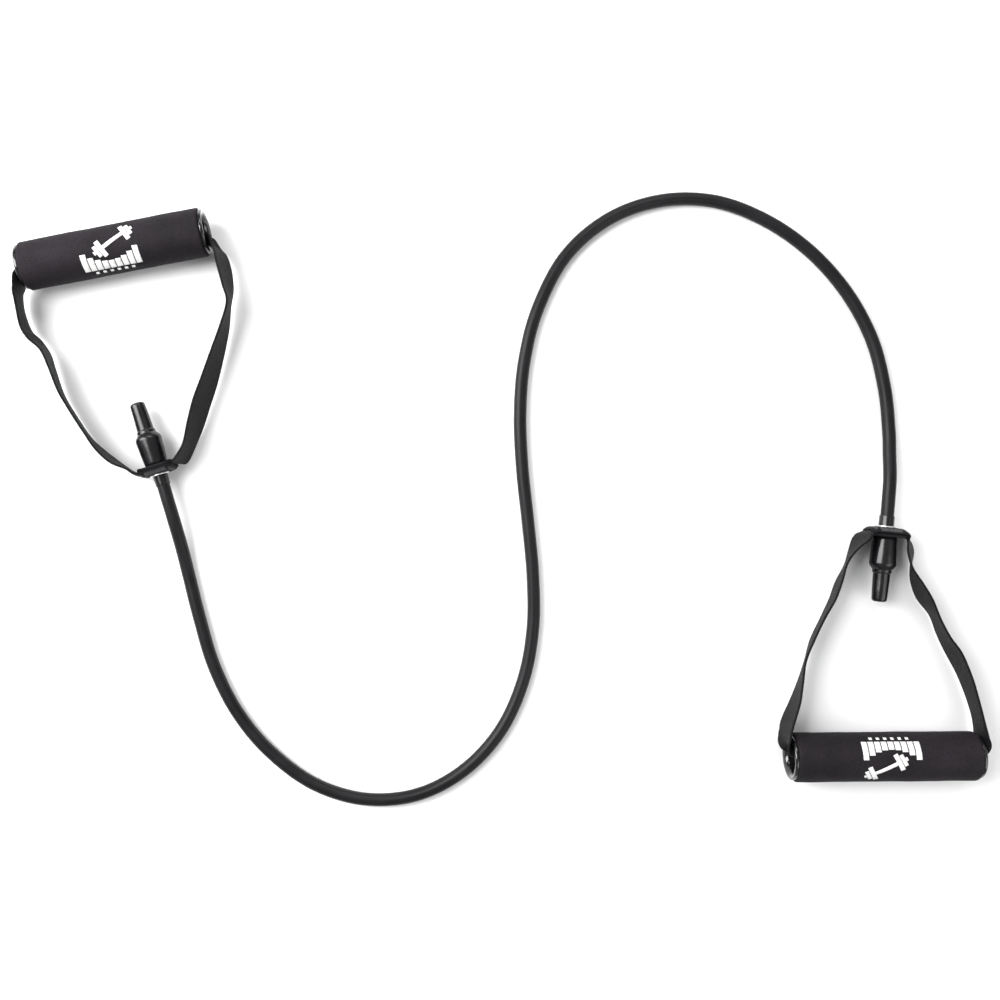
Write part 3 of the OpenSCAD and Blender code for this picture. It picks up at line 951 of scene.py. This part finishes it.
# Bar tacks at both ends of the lap and zigzags above and below the eyelet
stitchSizes = {
    "thread": 0.24, "tackAt": 10.0, "tackHalfWidth": 0.9, "tackPitch": 0.85,
    "tackReach": 10.4, "zigPitch": 1.15, "zigFrom": 8.3, "zigTo": 11.8, "zigHalf": 7.5,
    "sink": 0.06,
    "sides": 8,
    "steps": 5,  # rings from one hole to the next
}


def lapPoint(x, u, face):
    # A point on the lap's tube side (-1) or handle side (1), in the boot's frame
    s, t = strapSizes, stitchSizes
    middle = s["thick"] / 2 if face < 0 else s["thick"] * 1.5 + s["lapGap"]
    across, off, tilt = sectionAt(u, seamCurl(x, middle), s["edgeFlat"])
    h = face * (strapHalfThickness(u) + t["thread"] - t["sink"])
    return Vector(((across - h * math.sin(tilt)) * mm, x * mm,
                   (middle + seamArch(x) + off + h * math.cos(tilt)) * mm))


def stitchRuns():
    t = stitchSizes
    runs = []
    for face in (-1, 1):
        for centre in (-t["tackAt"], t["tackAt"]):
            count = int(2 * t["tackReach"] / t["tackPitch"])
            runs.append([
                lapPoint(centre + (t["tackHalfWidth"] if i % 2 else -t["tackHalfWidth"]),
                         -t["tackReach"] + i * t["tackPitch"], face)
                for i in range(count + 1)])
        for edge in (-1, 1):
            count = int(2 * t["zigHalf"] / t["zigPitch"]) * 2
            runs.append([
                lapPoint(-t["zigHalf"] + i * t["zigPitch"] / 2,
                         edge * (t["zigTo"] if i % 2 else t["zigFrom"]), face)
                for i in range(count + 1)])
    return runs


def threadRings(points, radius, sides, steps):
    # Rings round each straight stitch from one hole to the next
    slant = Vector((0.3, 0.2, 1))  # no stitch runs along it
    line = []
    for a, b in zip(points, points[1:]):
        for j in range(steps):
            line.append(a.lerp(b, j / steps))
    line.append(points[-1])
    rings = []
    for point, heading in zip(line, headings(line)):
        side = heading.cross(slant).normalized()
        lift = side.cross(heading)
        rings.append([point + (side * math.cos(2 * math.pi * k / sides)
                               + lift * math.sin(2 * math.pi * k / sides)) * radius
                      for k in range(sides)])
    return line, rings


def makeStitching(handle):
    tag, t = handle["tag"], stitchSizes
    sides = t["sides"]
    points, faces, uvs = [], [], []
    for run in stitchRuns():
        line, rings = threadRings(run, t["thread"] * mm, sides, t["steps"])
        lengths, base = runLengths(line), len(points)
        points += [p for ring in rings for p in ring]
        for i in range(len(rings) - 1):
            for k in range(sides):
                nextPoint = (k + 1) % sides
                low, high = base + i * sides, base + (i + 1) * sides
                faces.append((low + k, high + k, high + nextPoint, low + nextPoint))
                uvs += [(lengths[i], k / sides), (lengths[i + 1], k / sides),
                        (lengths[i + 1], (k + 1) / sides), (lengths[i], (k + 1) / sides)]
        for start, turn in ((base, 1), (base + (len(rings) - 1) * sides, -1)):
            faces.append(tuple([start + k for k in range(sides)][::turn]))
            uvs += [(0, 0)] * sides
    thread = meshPiece(f"strap_{tag}_thread", points, faces, uvs, finishes["thread"],
                       handle["bootMatrix"])
    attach(thread, f"loop_{tag}")
    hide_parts(f"strap_stitching_{tag}")
    return thread


for handle in handles:
    strap, strapLength = makeStrap(handle)
    thread = makeStitching(handle)
print("straps ready")


gripSizes = {
    "foamRadius": 17.0, "foamHalf": 63.0, "foamBore": 13.05, "foamRound": 5.0,
    "foamEdge": 0.5,  # rounding at the bore
    "foamStep": 2.2,
    "foamUneven": 0.16,
    "foamWaves": (1.6, 0.055),  # waves of the unevenness round the grip and along it
    "foamSeed": {"a": 1.0, "b": 6.0},
    "foamFlat": 0.12,  # how far the foam is pressed flat on the floor
    "capRadius": 15.5, "capSeat": 63.3, "capEnd": 65.6, "throat": 10.45, "mouthDeep": 4.1,
    "lip": 1.2, "spigot": 11.45, "spigotEnd": 49.0,
    "capEdge": 0.35,  # rounding of the flange beside the foam
    "spigotBevel": (0.3, 0.4),
    "lipSteps": 8,
    "mouthSteps": 12,
}


def foamOutline(s):
    # closed outline of (radius, along), finely stepped so that it can be uneven
    half, outer, inner = s["foamHalf"], s["foamRadius"], s["foamBore"]
    corners = [(inner, 0), (inner, -half), (outer, -half), (outer, half), (inner, half),
               (inner, 0)]
    radii = [0, s["foamEdge"], s["foamRound"], s["foamRound"], s["foamEdge"], 0]
    rounded = filleted(corners, radii, 8)[:-1]
    out = []
    for a, b in zip(rounded, rounded[1:] + rounded[:1]):
        pieces = max(1, round(math.dist(a, b) / s["foamStep"]))
        out += [(a[0] + (b[0] - a[0]) * i / pieces, a[1] + (b[1] - a[1]) * i / pieces)
                for i in range(pieces)]
    return out


def foamSurface(handle):
    # How far the foam's skin stands from its axis, in mm, at an angle and a place along it
    s = gripSizes
    seed = s["foamSeed"][handle["tag"]]
    wavesRound, wavesAlong = s["foamWaves"]
    floor = handle["gripHeight"] / mm - s["foamFlat"]

    def radiusAt(angle, radius, along):
        soft = wobble(wavesRound * math.cos(angle) + along * wavesAlong,
                      wavesRound * math.sin(angle), seed)
        share = max(0.0, (radius - s["foamBore"]) / (s["foamRadius"] - s["foamBore"]))
        r = radius - s["foamUneven"] * (1 - soft) * share
        down = -math.sin(angle)
        if down > 0 and r * down > floor:
            r = floor / down
        return r
    return radiusAt


def makeFoam(handle):
    radiusAt = foamSurface(handle)

    def shape(angle, radius, along):
        return radiusAt(angle, radius / mm, along / mm) * mm, along

    outline = [(r * mm, z * mm) for r, z in foamOutline(gripSizes)]
    foam = lathePiece(f"foam_{handle['tag']}_sleeve", outline, finishes["foam"],
                      handle["gripMatrix"], around=96, shape=shape)
    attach(foam, f"grip_{handle['tag']}")
    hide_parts(f"foam_{handle['tag']}")


def capOutline(s):
    # spigot, flange with a round lip, and the mouth's quarter ellipse down to the throat
    lipAt, crest = s["capEnd"] - s["lip"], s["capRadius"] - s["lip"]
    bevel, bevelLength = s["spigotBevel"]
    out = [(s["spigot"], s["spigotEnd"] + bevelLength), (s["spigot"], s["capSeat"])]
    out += filleted([(s["spigot"], s["capSeat"]), (s["capRadius"], s["capSeat"]),
                     (s["capRadius"], lipAt)], [0, s["capEdge"], 0], 5)[1:-1]
    for i in range(s["lipSteps"] + 1):
        a = math.pi / 2 * i / s["lipSteps"]
        out.append((crest + s["lip"] * math.cos(a), lipAt + s["lip"] * math.sin(a)))
    for i in range(1, s["mouthSteps"] + 1):
        a = math.pi / 2 * i / s["mouthSteps"]
        out.append((crest - (crest - s["throat"]) * math.sin(a),
                    s["capEnd"] - s["mouthDeep"] * (1 - math.cos(a))))
    out += [(s["throat"], s["spigotEnd"] + bevelLength),
            (s["throat"] + bevel, s["spigotEnd"]), (s["spigot"] - bevel, s["spigotEnd"])]
    return out


def makeCap(handle, name, side):
    outline = [(r * mm, side * z * mm) for r, z in capOutline(gripSizes)]
    cap = lathePiece(f"cap_{name}_{handle['tag']}_bell", outline, finishes["cap"],
                     handle["gripMatrix"], around=96)
    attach(cap, f"grip_{handle['tag']}")
    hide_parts(f"cap_{name}_{handle['tag']}")


# The printed mark: a tilted dumbbell over a row of bars and a row of dots, in mm along the
# grip and round it
printSizes = {
    "lift": 0.06, "thick": 0.10, "step": 0.6,
    "sink": 0.2,  # how far its underside lies in the foam
    "turn": {"a": -3.0, "b": 0.0},  # how far round each grip the mark is turned
    "bell": {"at": (4.0, 4.6), "tilt": 27.0,
             # places along it, half length, half height
             "parts": [(0, 8.0, 1.3), (-9.6, 1.6, 6.2), (9.6, 1.6, 6.2), (-12.9, 1.3, 4.2),
                       (12.9, 1.3, 4.2), (-15.1, 0.7, 1.3), (15.1, 0.7, 1.3)]},
    "bars": {"count": 9, "pitch": 4.5, "half": 1.9, "low": -14.6, "high": -8.6, "rise": 7.0},
    "dots": {"count": 6, "pitch": 5.0, "half": 1.1, "at": -17.4},
}


def printBars():
    # each bar is its centre along and round, half length, half height and tilt
    bell, bars, dots = printSizes["bell"], printSizes["bars"], printSizes["dots"]
    tilt = math.radians(bell["tilt"])
    out = [(bell["at"][0] + along * math.cos(tilt), bell["at"][1] + along * math.sin(tilt),
            length, height, tilt) for along, length, height in bell["parts"]]
    span = bars["pitch"] * (bars["count"] - 1) / 2
    for i in range(bars["count"]):
        x = bars["pitch"] * i - span
        top = bars["high"] + bars["rise"] * (x / span) ** 2
        out.append((x, (top + bars["low"]) / 2, bars["half"], (top - bars["low"]) / 2, 0.0))
    for i in range(dots["count"]):
        x = dots["pitch"] * (i - (dots["count"] - 1) / 2)
        out.append((x, dots["at"], dots["half"], dots["half"], 0.0))
    return out


def makePrint(handle):
    p, tag = printSizes, handle["tag"]
    radiusAt = foamSurface(handle)
    points, faces, uvs = [], [], []
    for x, y, halfLength, halfHeight, tilt in printBars():
        nx = max(1, round(2 * halfLength / p["step"]))
        ny = max(1, round(2 * halfHeight / p["step"]))
        base, layer = len(points), (nx + 1) * (ny + 1)
        for height in (p["lift"] - p["sink"], p["lift"] + p["thick"]):
            for j in range(ny + 1):
                for i in range(nx + 1):
                    dx, dy = halfLength * (2 * i / nx - 1), halfHeight * (2 * j / ny - 1)
                    along = x + dx * math.cos(tilt) - dy * math.sin(tilt)
                    around = p["turn"][tag] + y + dx * math.sin(tilt) + dy * math.cos(tilt)
                    # positive is towards the far side of the grip, seen from above
                    angle = math.pi / 2 - around / gripSizes["foamRadius"]
                    r = radiusAt(angle, gripSizes["foamRadius"], along) + height
                    place = Vector((r * math.cos(angle), r * math.sin(angle), along))
                    points.append(place * mm)

        def at(i, j, level):
            return base + level * layer + j * (nx + 1) + i

        quads = []
        for j in range(ny):
            for i in range(nx):
                quads.append((at(i, j, 1), at(i, j + 1, 1), at(i + 1, j + 1, 1),
                              at(i + 1, j, 1)))
                quads.append((at(i, j, 0), at(i + 1, j, 0), at(i + 1, j + 1, 0),
                              at(i, j + 1, 0)))
        for i in range(nx):
            quads.append((at(i, 0, 0), at(i, 0, 1), at(i + 1, 0, 1), at(i + 1, 0, 0)))
            quads.append((at(i, ny, 0), at(i + 1, ny, 0), at(i + 1, ny, 1), at(i, ny, 1)))
        for j in range(ny):
            quads.append((at(0, j, 0), at(0, j + 1, 0), at(0, j + 1, 1), at(0, j, 1)))
            quads.append((at(nx, j, 0), at(nx, j, 1), at(nx, j + 1, 1), at(nx, j + 1, 0)))
        faces += quads
        uvs += [(points[i].z, points[i].x) for quad in quads for i in quad]
    mark = meshPiece(f"print_{tag}_mark", points, faces, uvs, finishes["ink"],
                     handle["gripMatrix"])
    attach(mark, f"grip_{tag}")


for handle in handles:
    makeFoam(handle)
    makeCap(handle, "left", -1)
    makeCap(handle, "right", 1)
    makePrint(handle)
print("grips ready")


# CAD pieces that stay, with their own finish
keptNodes = {"stopper": "stopper", "washer": "washer", "eyelet_back": "eyelet", "core": "core"}


def refinish(node, material):
    slots = frame["nodes"][node].data.materials
    slots.clear()
    slots.append(material)


for handle in handles:
    for name, finish in keptNodes.items():
        refinish(f"{name}_{handle['tag']}", finishes[finish])
print("kept pieces ready")


studio = {
    "floorSize": 6.0,
    "floorGrey": (0.89, 0.90),
    "floorPatch": 3.0,
    "floorRoughness": 0.9,
    "worldStrength": 0.36,
    # each softbox: place, what it points at, width, height, power
    "boxes": [
        ((-1.05, 0.35, 1.00), (-0.1, 0.0, 0.0), 0.80, 1.40, 42.0),
        ((1.20, -0.75, 1.30), (0.1, 0.0, 0.0), 1.30, 1.30, 14.0),
        ((0.10, 1.25, 1.10), (0.0, 0.0, 0.0), 1.20, 0.60, 12.0),
    ],
}


def makeFloor(setup):
    half = setup["floorSize"] / 2
    material, tree, shader = newMaterial("studioFloor")
    paper = noise(tree, coordinates(tree), setup["floorPatch"], 3.0)
    shader.inputs["Roughness"].default_value = setup["floorRoughness"]
    low, high = setup["floorGrey"]
    tree.links.new(ramp(tree, paper, [(0.3, low), (0.7, high)]),
                   shader.inputs["Base Color"])
    corners = [(-half, -half, 0), (half, -half, 0), (half, half, 0), (-half, half, 0)]
    floor = meshPiece("studioFloor", corners, [(0, 1, 2, 3)],
                      [(c[0], c[1]) for c in corners], material)


def makeLights(setup):
    for i, (place, target, width, height, power) in enumerate(setup["boxes"]):
        data = bpy.data.lights.new(f"softbox{i}", "AREA")
        data.shape = "RECTANGLE"
        data.size, data.size_y, data.energy = width, height, power
        box = bpy.data.objects.new(f"softbox{i}", data)
        box.location = place
        aim = Vector(target) - Vector(place)
        box.rotation_mode = "QUATERNION"
        box.rotation_quaternion = aim.to_track_quat("-Z", "Y")
        scene.collection.objects.link(box)
    world = bpy.data.worlds.new("studio")
    world.use_nodes = True
    background = world.node_tree.nodes["Background"]
    background.inputs["Strength"].default_value = setup["worldStrength"]
    background.inputs["Color"].default_value = (1, 1, 1, 1)
    scene.world = world


makeFloor(studio)
makeLights(studio)
print("studio ready")
